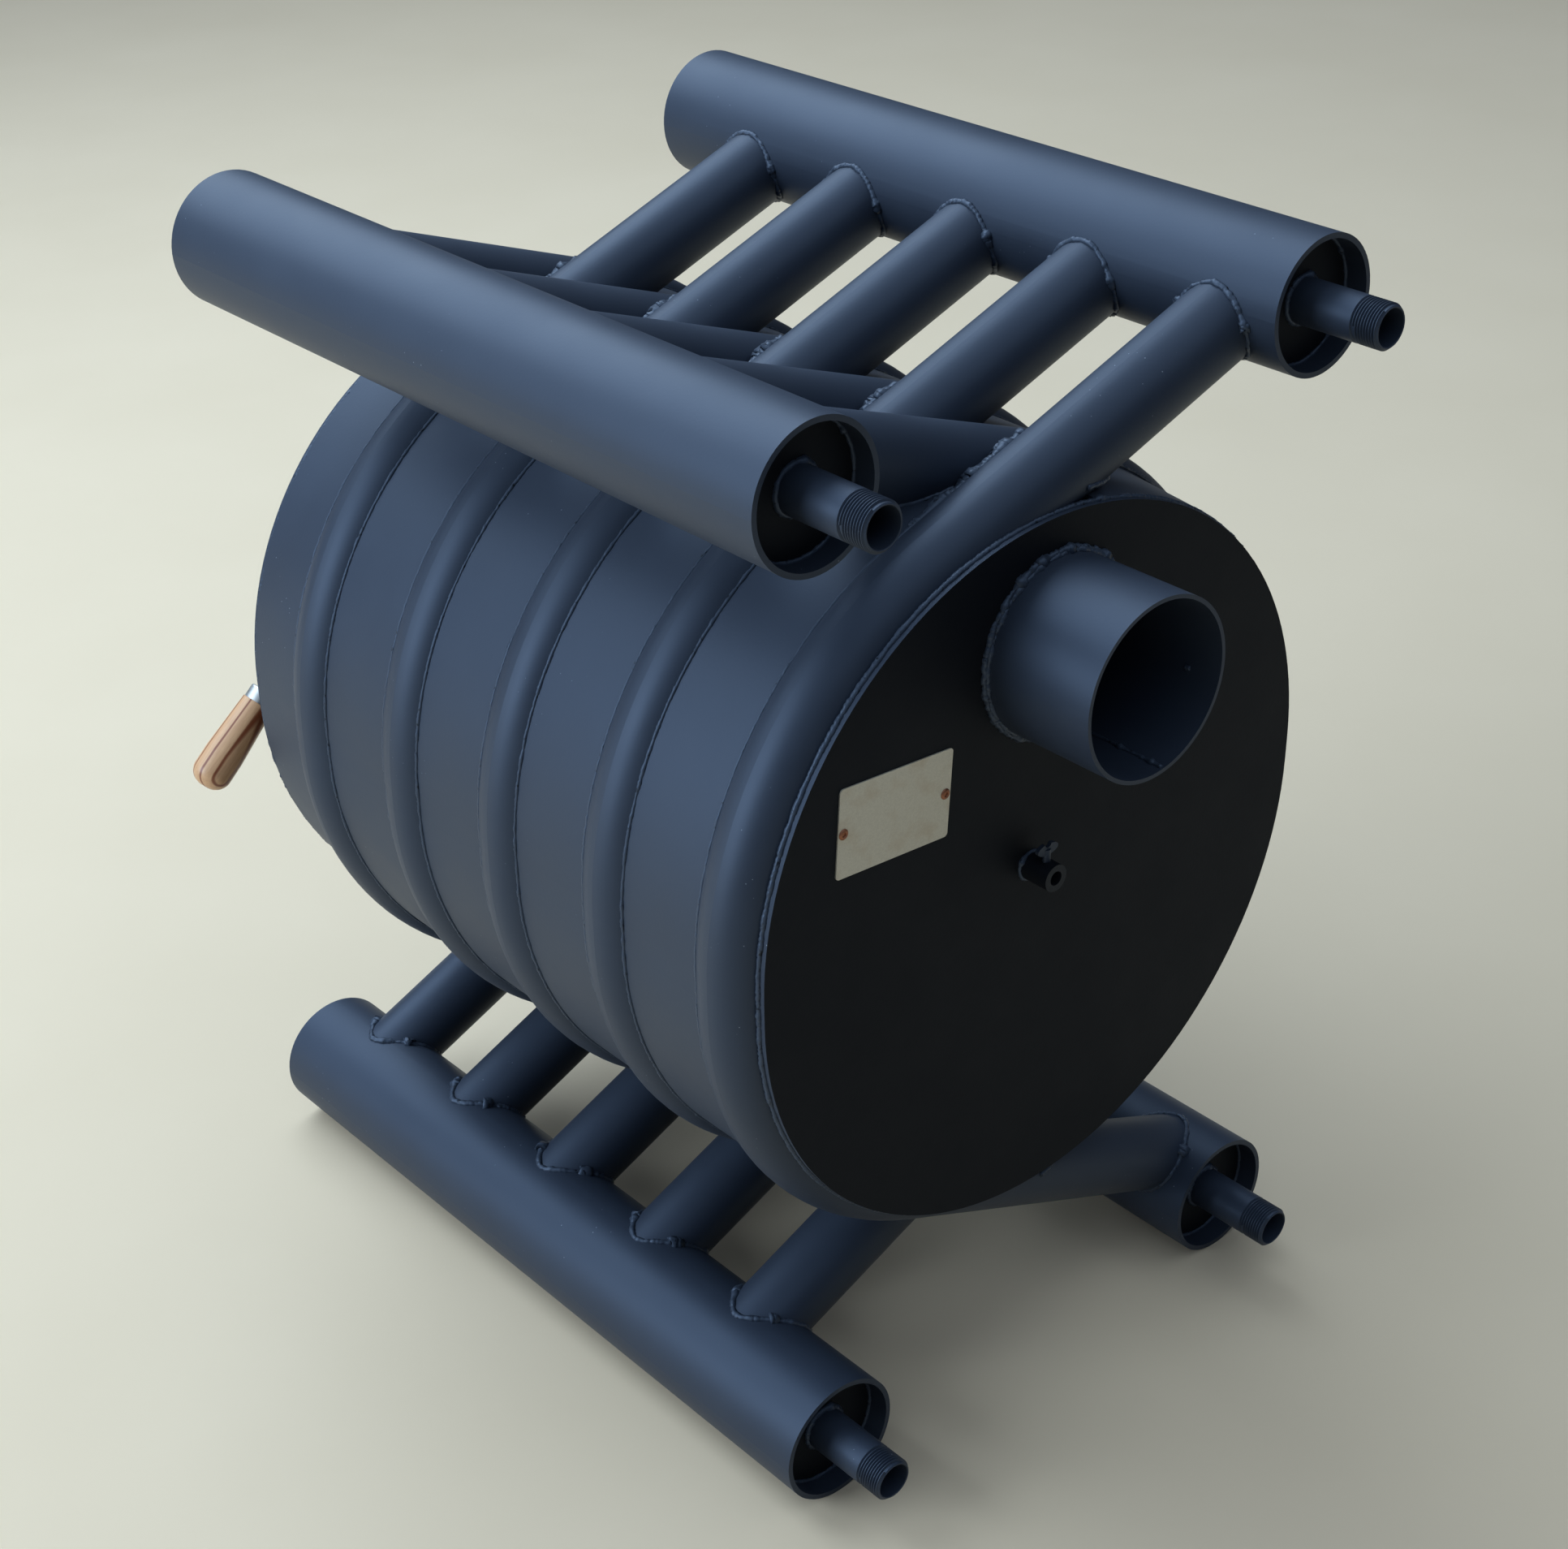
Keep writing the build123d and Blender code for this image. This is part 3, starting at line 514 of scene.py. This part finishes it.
def even_points(points, closed):
    # The same line as points one bead spacing apart
    line = [Vector(p) for p in points]
    if closed:
        line.append(line[0])
    steps = [0.0]
    for a, b in zip(line, line[1:]):
        steps.append(steps[-1] + (b - a).length)
    count = max(4, round(steps[-1] / BEAD_SPACING))
    even = []
    segment = 0
    for i in range(count + (0 if closed else 1)):
        reach = steps[-1] * i / count
        while segment < len(steps) - 2 and steps[segment + 1] < reach:
            segment += 1
        span = steps[segment + 1] - steps[segment]
        share = (reach - steps[segment]) / span if span else 0
        even.append(line[segment].lerp(line[segment + 1], share))
    return even


def weld_object(name, runs, body, seed, roughness=1.0):
    # Beads along several lines, each run as (points, closed, bead radius, where the welder stopped), with
    # those stops as shares of the line. Each is a blob on a bead that ripples, swells and wanders.
    draw = random.Random(seed)
    curve = bpy.data.curves.new(name, "CURVE")
    curve.dimensions = "3D"
    curve.bevel_depth = 1.0
    curve.bevel_resolution = 1
    curve.use_fill_caps = True
    for points, closed, radius, stops in runs:
        even = even_points(points, closed)
        spline = curve.splines.new("POLY")
        spline.points.add(len(even) - 1)
        spline.use_cyclic_u = closed
        phase = draw.uniform(0, 10)
        for i, place in enumerate(even):
            reach = i * BEAD_SPACING
            ripple = abs(math.sin(math.pi * reach / RIPPLE_LENGTH + phase))
            swell = noise.noise(Vector((reach / SWELL_LENGTH, phase, seed)))
            size = radius * (BEAD_CORE + RIPPLE_SHARE * ripple + SWELL_SHARE * roughness * swell)
            for stop in stops:
                gap = abs(i / len(even) - stop)
                gap = min(gap, 1 - gap) if closed else gap
                distance = gap * len(even) * BEAD_SPACING
                size += radius * BLOB_SHARE * math.exp(-((distance / (radius * BLOB_REACH)) ** 2))
            wander = Vector([draw.uniform(-1, 1) * radius * WANDER_SHARE * roughness for _ in range(3)])
            spline.points[i].co = (*(place + wander), 1)
            spline.points[i].radius = size
    holder = bpy.data.objects.new(name + "_line", curve)
    mesh = bpy.data.meshes.new_from_object(holder)
    mesh.name = name
    bpy.data.objects.remove(holder)
    bpy.data.curves.remove(curve)
    bm = bmesh.new()
    bm.from_mesh(mesh)
    bmesh.ops.remove_doubles(bm, verts=bm.verts, dist=MERGE_DISTANCE)
    bmesh.ops.recalc_face_normals(bm, faces=bm.faces)
    for vertex in bm.verts:
        fine = noise.noise(vertex.co / FINE_LUMP_LENGTH) * FINE_LUMP_HEIGHT
        coarse = noise.noise(vertex.co / COARSE_LUMP_LENGTH) * COARSE_LUMP_HEIGHT
        vertex.co += vertex.normal * (fine + coarse) * roughness
    for face in bm.faces:
        face.smooth = True
    finish_piece(name, bm, weld_paint_with_painted_highlight, body, mesh)


def finish_piece(name, bm, finish, body, mesh=None):
    mesh = mesh or bpy.data.meshes.new(name)
    bm.to_mesh(mesh)
    bm.free()
    mesh.materials.clear()
    mesh.materials.append(finish)
    piece = bpy.data.objects.new(name, mesh)
    bpy.context.scene.collection.objects.link(piece)
    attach(piece, body)
    return piece


def ring(centre, radius, y, steps=96):
    # Circle about the Y axis through centre
    turns = [2 * math.pi * i / steps for i in range(steps)]
    return [(centre.x + radius * math.cos(t), y, centre.z + radius * math.sin(t)) for t in turns]


def rim_line(radius, y, steps=96):
    # Line round the drum at one radius, over the side runs
    line = []
    for i in range(steps):
        t = 2 * math.pi * i / steps
        middle = arc_top_z if math.sin(t) >= 0 else arc_bottom_z
        line.append((radius * math.cos(t), y, middle + radius * math.sin(t)))
    return line


# By level: up or down, middle of the bends' arc, and how far a tube's axis passes from its collector's
UPWARD = {"upper": 1, "lower": -1}
ARC_Z = {"upper": arc_top_z, "lower": arc_bottom_z}
AIM = {"upper": 0, "lower": LOWER_AIM}


def leave_angle(level):
    # Where a bent tube leaves its bend, in radians from the side it wraps
    target = centre_of(f"{level}_left_collector")
    rise = target.z - ARC_Z[level]
    spread = math.acos((BEND_RADIUS + AIM[level]) / math.hypot(target.x, rise))
    return math.atan2(abs(rise), target.x) - spread


LEAVE = {level: leave_angle(level) for level in UPWARD}


def saddle_line(level, side, tube_y, steps=72):
    # Where a tube from the other side meets the collector of this side
    centre = centre_of(f"{level}_{side}_collector")
    low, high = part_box(f"{level}_{side}_collector")
    collector_radius = (high.z - low.z) / 2
    from_side = -SIDES[side]
    sign = UPWARD[level]
    leave = LEAVE[level]
    outward = Vector((from_side * math.cos(leave), 0, sign * math.sin(leave)))
    run = Vector((from_side * math.sin(leave), 0, -sign * math.cos(leave)))
    line = []
    for i in range(steps):
        t = 2 * math.pi * i / steps
        across = outward * (tube_radius * math.cos(t) - AIM[level])
        lean = across.dot(run)
        along = math.sqrt(lean ** 2 - across.length_squared + collector_radius ** 2) - lean
        place = centre + across + run * along
        line.append((place.x, tube_y + tube_radius * math.sin(t), place.z))
    return line


# Each saddle has a thin bead all round, and short heavy lumps where tacks were welded over. Lumps start
# at these of the saddle line's points, and the bead's stops are shares of its length.
SADDLE_BEAD = 2.6 * MM
LUMP_RADIUS = 5.2 * MM
LUMP_STEPS = 3
LUMP_SHIFTS = 3
SADDLE_ROUGHNESS = 1.4
LUMP_STARTS = {
    ("upper", "left"): (12, 56),
    ("upper", "right"): (10, 58),
    ("lower", "left"): (20, 50),
    ("lower", "right"): (43, 24),
}
SADDLE_STOPS = {
    ("upper", "left"): (0.2, 0.78),
    ("upper", "right"): (0.25, 0.8),
    ("lower", "left"): (0.3, 0.7),
    ("lower", "right"): (0.62,),
}
for level in UPWARD:
    for side in SIDES:
        other = "left" if side == "right" else "right"
        runs = []
        for index in range(1, TUBES_PER_SIDE + 1):
            tube_y = centre_of(f"{other}_tube_{index}").y
            line = saddle_line(level, side, tube_y)
            runs.append((line, True, SADDLE_BEAD, SADDLE_STOPS[level, side]))
            for start in LUMP_STARTS[level, side]:
                first = (start + index % LUMP_SHIFTS) % len(line)
                runs.append((line[first:first + LUMP_STEPS], False, LUMP_RADIUS, ()))
        name = f"{level}_{side}_collector_welds"
        weld_object(name, runs, "stove", seed=len(name), roughness=SADDLE_ROUGHNESS)


# Degrees above and below the stove's middle at which a strip's seam ends, and where it gets heavier
SEAM_END_ANGLE = 91
HEAVY_SEAM_ANGLE = 74
SEAM_BEAD = 1.5 * MM
HEAVY_SEAM_BEAD = 3.4 * MM


def seam_line(side, tube_y, toward, step=1.5):
    # Edge of a sheet strip along a bent tube, from the bottom crossing to the top crossing
    line = []
    angle = -SEAM_END_ANGLE
    while angle <= SEAM_END_ANGLE:
        t = math.radians(angle)
        leave = LEAVE["upper" if angle > 0 else "lower"]
        rise = strip_radius * math.cos(max(0, abs(t) - leave)) - BEND_RADIUS
        offset = math.sqrt(tube_radius ** 2 - rise ** 2)
        middle = arc_top_z if angle >= 0 else arc_bottom_z
        line.append((
            side * strip_radius * math.cos(t), tube_y + toward * offset,
            middle + strip_radius * math.sin(t),
        ))
        angle += step
    return line


for side_name, side in SIDES.items():
    runs = []
    for index in range(1, TUBES_PER_SIDE + 1):
        tube_y = centre_of(f"{side_name}_tube_{index}").y
        for toward in (-1, 1):
            if not front_inner_y < tube_y + toward * 2 * tube_radius < rear_inner_y:
                continue
            line = seam_line(side, tube_y, toward)
            heavy = round(len(line) * (SEAM_END_ANGLE - HEAVY_SEAM_ANGLE) / (2 * SEAM_END_ANGLE))
            runs.append((line[heavy:-heavy], False, SEAM_BEAD, ()))
            runs.append((line[-heavy - 1:], False, HEAVY_SEAM_BEAD, (0.3, 0.8)))
            runs.append((line[:heavy + 1], False, HEAVY_SEAM_BEAD, (0.2, 0.7)))
    weld_object(f"{side_name}_strip_seams", runs, "stove", seed=31 + side)


# Heavy runs laid beside each other where neighbouring tubes cross, on the front flank of the rear one.
# Each is given by its turn round the tube in degrees and its radius.

CROSSING_REACH = 78 * MM
CROSSING_OVERRUN = 24 * MM
CROSSING_STOPS = (0.15, 0.45, 0.7)
CROSSING_ROUGHNESS = 1.8
FLANK_BEADS = ((50, 3.6 * MM), (63, 4.6 * MM), (77, 5.0 * MM))


def flank_line(side, tube_y, level, turn, steps=24):
    leave = LEAVE[level]
    line = []
    for i in range(steps + 1):
        reach = -CROSSING_OVERRUN + (CROSSING_REACH + CROSSING_OVERRUN) * i / steps
        rise = (BEND_RADIUS - reach * math.cos(leave)) / math.sin(leave)
        line.append((
            side * reach,
            tube_y - tube_radius * math.sin(math.radians(turn)),
            ARC_Z[level] + UPWARD[level] * (rise + tube_radius * math.cos(math.radians(turn))),
        ))
    return line


crossing_runs = []
for side_name, side in SIDES.items():
    for index in range(1, TUBES_PER_SIDE + 1):
        tube_y = centre_of(f"{side_name}_tube_{index}").y
        if tube_y < front_inner_y + 2 * tube_radius:
            continue
        for level in UPWARD:
            for turn, radius in FLANK_BEADS:
                line = flank_line(side, tube_y, level, turn)
                crossing_runs.append((line, False, radius, CROSSING_STOPS))
weld_object("tube_crossing_welds", crossing_runs, "stove", seed=43, roughness=CROSSING_ROUGHNESS)


# Short runs where a strip ends under the crossing tube, and rings round plates and pipes

STRIP_END_BEAD = 2.4 * MM
STRIP_END_REACH = 0.96


def strip_end_line(side, tube_y, level, steps=28):
    reach = tube_radius * STRIP_END_REACH
    line = []
    for i in range(steps + 1):
        across = -reach + 2 * reach * i / steps
        drop = math.sqrt(tube_radius ** 2 - across ** 2)
        t = math.pi - LEAVE[level] - math.acos((BEND_RADIUS - drop) / strip_radius)
        line.append((
            side * strip_radius * math.cos(t), tube_y + across,
            ARC_Z[level] + UPWARD[level] * strip_radius * math.sin(t),
        ))
    return line


end_runs = []
for side_name, side in SIDES.items():
    other = "left" if side_name == "right" else "right"
    for index in range(1, TUBES_PER_SIDE + 1):
        tube_y = centre_of(f"{other}_tube_{index}").y
        for level in UPWARD:
            end_runs.append((strip_end_line(side, tube_y, level), False, STRIP_END_BEAD, (0.5,)))
weld_object("strip_end_welds", end_runs, "stove", seed=47)

RIM_BEAD = 2.2 * MM
RIM_INSET = 0.6 * MM
rim_radius = plate_radius + 0.2 * MM
rear_rim = rim_line(rim_radius, rear_inner_y - RIM_INSET)
front_rim = rim_line(rim_radius, front_inner_y + RIM_INSET)
rear_runs = [(rear_rim, True, RIM_BEAD, (0.27, 0.72))]
weld_object("rear_plate_weld", rear_runs, "stove", seed=53, roughness=0.9)
weld_object("front_plate_weld", [(front_rim, True, RIM_BEAD, (0.24, 0.7))], "stove", seed=59)

# Two runs round the flue stub's root: one on the plate, and one on the stub over its turned-down seat
FLUE_BEAD = 2.7 * MM
FLUE_OUTER_BEAD = 0.8 * FLUE_BEAD
FLUE_ROUGHNESS = 1.9
flue_centre = centre_of("flue_stub")
flue_low, flue_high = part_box("flue_stub")
flue_radius = flue_high.x
on_plate = ring(flue_centre, flue_radius + 1.7 * MM, rear_y + 0.6 * MM)
on_stub = ring(flue_centre, flue_radius + 0.2 * MM, rear_y + 2.4 * MM)
flue_weld_runs = [
    (on_plate, True, FLUE_BEAD, (0.16, 0.21, 0.27, 0.36)),
    (on_stub, True, FLUE_OUTER_BEAD, (0.2, 0.3, 0.41)),
]
weld_object("flue_stub_weld", flue_weld_runs, "stove", seed=61, roughness=FLUE_ROUGHNESS)


def in_flue(turn, y):
    # Point on the flue stub's bore, its turn in degrees from +X
    radius = flue_radius - FLUE_WALL
    return (
        flue_centre.x + radius * math.cos(math.radians(turn)), y,
        flue_centre.z + radius * math.sin(math.radians(turn)),
    )


# The stub is rolled from sheet: its lengthwise seam shows low in the bore, with one tack at the side
INNER_SEAM_TURN = -100
INNER_SEAM_BEAD = 1.6 * MM
TACK_TURN = 194
TACK_DEPTH = 25 * MM
TACK_LENGTH = 4 * MM
TACK_BEAD = 2.0 * MM
inner_seam = [in_flue(INNER_SEAM_TURN, y) for y in (flue_high.y - 2 * MM, flue_low.y + 4 * MM)]
tack_y = flue_high.y - TACK_DEPTH
tack = [in_flue(TACK_TURN, tack_y), in_flue(TACK_TURN, tack_y - TACK_LENGTH)]
flue_runs = [(inner_seam, False, INNER_SEAM_BEAD, (0.1, 0.4)), (tack, False, TACK_BEAD, ())]
weld_object("flue_inner_seam", flue_runs, "stove", seed=67)

SLEEVE_BEAD = 1.9 * MM
sleeve_low, sleeve_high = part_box("sensor_sleeve")
sleeve_ring = ring(centre_of("sensor_sleeve"), (sleeve_high.x - sleeve_low.x) / 2, rear_y, 48)
weld_object("sensor_sleeve_weld", [(sleeve_ring, True, SLEEVE_BEAD, (0.1, 0.55))], "stove", seed=71)

CAP_BEAD = 1.8 * MM
NIPPLE_BEAD = 2.6 * MM
cap_runs = []
nipple_runs = []
for level in UPWARD:
    for side in SIDES:
        collector = f"{level}_{side}_collector"
        cap_low, cap_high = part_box(collector + "_rear_cap")
        front_cap_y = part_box(collector + "_front_cap")[0].y
        cap_radius = (cap_high.x - cap_low.x) / 2
        nipple_low, nipple_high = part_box(f"{level}_{side}_nipple")
        nipple_radius = (nipple_high.x - nipple_low.x) / 2
        middle = centre_of(collector)
        cap_runs.append((ring(middle, cap_radius, cap_high.y), True, CAP_BEAD, (0.4,)))
        cap_runs.append((ring(middle, cap_radius, front_cap_y), True, CAP_BEAD, (0.6,)))
        nipple_runs.append((ring(middle, nipple_radius, cap_high.y, 64), True, NIPPLE_BEAD, (0.3,)))
weld_object("collector_cap_welds", cap_runs, "stove", seed=73)
weld_object("nipple_welds", nipple_runs, "stove", seed=79)

FRAME_BEAD = 2.4 * MM
frame_low, frame_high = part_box("door_frame")
frame_ring = ring(centre_of("door_frame"), (frame_high.x - frame_low.x) / 2, front_y)
weld_object("door_frame_weld", [(frame_ring, True, FRAME_BEAD, (0.15, 0.65))], "stove", seed=83)

AIR_TUBE_BEAD = 2.0 * MM
STUD_BEAD = 1.8 * MM
door_face_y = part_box("door")[0].y
air_low, air_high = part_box("air_tube")
air_ring = ring(centre_of("air_tube"), (air_high.x - air_low.x) / 2, door_face_y, 72)
weld_object("air_tube_weld", [(air_ring, True, AIR_TUBE_BEAD, (0.1, 0.5))], "door", seed=89)
stud_low, stud_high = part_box("latch_stud")
stud_ring = ring(centre_of("latch_stud"), (stud_high.x - stud_low.x) / 2, door_face_y, 40)
weld_object("latch_stud_weld", [(stud_ring, True, STUD_BEAD, (0.5,))], "door", seed=97)


# Turned pieces

def lathe(bm, profile, centre, axis, steps):
    # Turns a profile of (distance along the axis, radius) round the axis through centre
    axis = Vector(axis).normalized()
    across = axis.orthogonal().normalized()
    start = [bm.verts.new(Vector(centre) + axis * along + across * radius) for along, radius in profile]
    edges = [bm.edges.new(pair) for pair in zip(start, start[1:])]
    bmesh.ops.spin(
        bm, geom=start + edges, cent=centre, axis=axis, angle=2 * math.pi, steps=steps,
        use_merge=True, use_duplicate=False,
    )
    bmesh.ops.remove_doubles(bm, verts=bm.verts, dist=MERGE_DISTANCE)
    bmesh.ops.recalc_face_normals(bm, faces=bm.faces)


NIPPLE_CHAMFER = 0.8 * MM
BORE_CHAMFER = 0.4 * MM
THREAD_RUNOUT = 1 * MM
THREAD_MOUTH_GAP = 1.5 * MM
THREAD_ROOT_OVERLAP = 0.1 * MM
THREAD_STEPS = 60
# Half widths of a thread's root and crest, as shares of the pitch
ROOT_SHARE = 0.46
CREST_SHARE = 0.08


def pipe_nipple(level, side):
    # Pipe nipple: smooth shank, eight turns of pipe thread and a small chamfer at the mouth
    node = f"{level}_{side}_nipple"
    low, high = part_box(node)
    centre = centre_of(node)
    radius = (high.x - low.x) / 2
    bore = radius - NIPPLE_WALL
    root = radius - PIPE_THREAD_DEPTH
    length = high.y - low.y
    thread_start = length - PIPE_THREAD_LENGTH - THREAD_MOUTH_GAP
    base = Vector((centre.x, low.y, centre.z))
    bm = bmesh.new()
    lathe(bm, [
        (0, bore), (0, radius), (thread_start - THREAD_RUNOUT, radius), (thread_start, root),
        (length - NIPPLE_CHAMFER, root), (length, root - NIPPLE_CHAMFER), (length, bore + BORE_CHAMFER),
        (length - BORE_CHAMFER, bore), (0, bore),
    ], base, (0, 1, 0), 96)
    turns = PIPE_THREAD_LENGTH / PIPE_THREAD_PITCH - 0.5
    half = PIPE_THREAD_PITCH * ROOT_SHARE
    crest = PIPE_THREAD_PITCH * CREST_SHARE
    sunk = root - THREAD_ROOT_OVERLAP
    place = Vector((centre.x, low.y + thread_start + half, centre.z))
    section = [(-half, sunk), (-crest, radius), (crest, radius), (half, sunk)]
    corners = [bm.verts.new(place + Vector((r, y, 0))) for y, r in section]
    face = bm.faces.new(corners)
    bmesh.ops.spin(
        bm, geom=[face, *face.edges, *corners], cent=place, axis=(0, -1, 0),
        dvec=(0, PIPE_THREAD_PITCH / THREAD_STEPS, 0), angle=2 * math.pi * turns,
        steps=round(turns * THREAD_STEPS), use_merge=False, use_duplicate=False,
    )
    bmesh.ops.recalc_face_normals(bm, faces=bm.faces)
    piece = finish_piece(f"{level}_{side}_threaded_nipple", bm, paint, "stove")
    smooth_by_angle(piece)
    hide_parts(node)


def smooth_by_angle(piece, limit=35):
    # Smooth shading, except across edges sharper than the limit in degrees
    mesh = piece.data
    for polygon in mesh.polygons:
        polygon.use_smooth = True
    bm = bmesh.new()
    bm.from_mesh(mesh)
    for edge in bm.edges:
        edge.smooth = edge.calc_face_angle(math.pi) < math.radians(limit)
    bm.to_mesh(mesh)
    bm.free()


for level in UPWARD:
    for side in SIDES:
        pipe_nipple(level, side)


# Rivet head in millimetres, as height over the name plate and radius
RIVET_PROFILE = (
    (0, 0), (0, 4.0), (0.3, 4.0), (0.8, 3.5), (1.2, 2.6), (1.3, 2.1), (1.1, 1.8), (0.2, 1.6), (0.2, 0),
)


def blind_rivets():
    # Two blind rivets: thin domed flange with the broken stem sunk in its middle
    seat_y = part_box("name_plate")[1].y
    centre = centre_of("name_plate")
    bm = bmesh.new()
    rivet_verts = [v.co for v in nodes["name_plate_rivets"].data.vertices if v.co.y > seat_y]
    for sign in (-1, 1):
        own = [v for v in rivet_verts if (v.x - centre.x) * sign > 0]
        x = (min(v.x for v in own) + max(v.x for v in own)) / 2
        z = (min(v.z for v in own) + max(v.z for v in own)) / 2
        seat = Vector((x, seat_y, z))
        shape = bmesh.new()
        profile = [(height * MM, radius * MM) for height, radius in RIVET_PROFILE]
        lathe(shape, profile, seat, (0, 1, 0), 40)
        loose = bpy.data.meshes.new("rivet_loose")
        shape.to_mesh(loose)
        shape.free()
        bm.from_mesh(loose)
        bpy.data.meshes.remove(loose)
    piece = finish_piece("blind_rivets", bm, copper, "stove")
    smooth_by_angle(piece, 50)
    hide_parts("name_plate_rivets")


blind_rivets()

make_camera()
make_floor()
for softbox, settings in SOFTBOXES.items():
    make_softbox(softbox, *settings)
bpy.context.scene.view_settings.view_transform = "Standard"
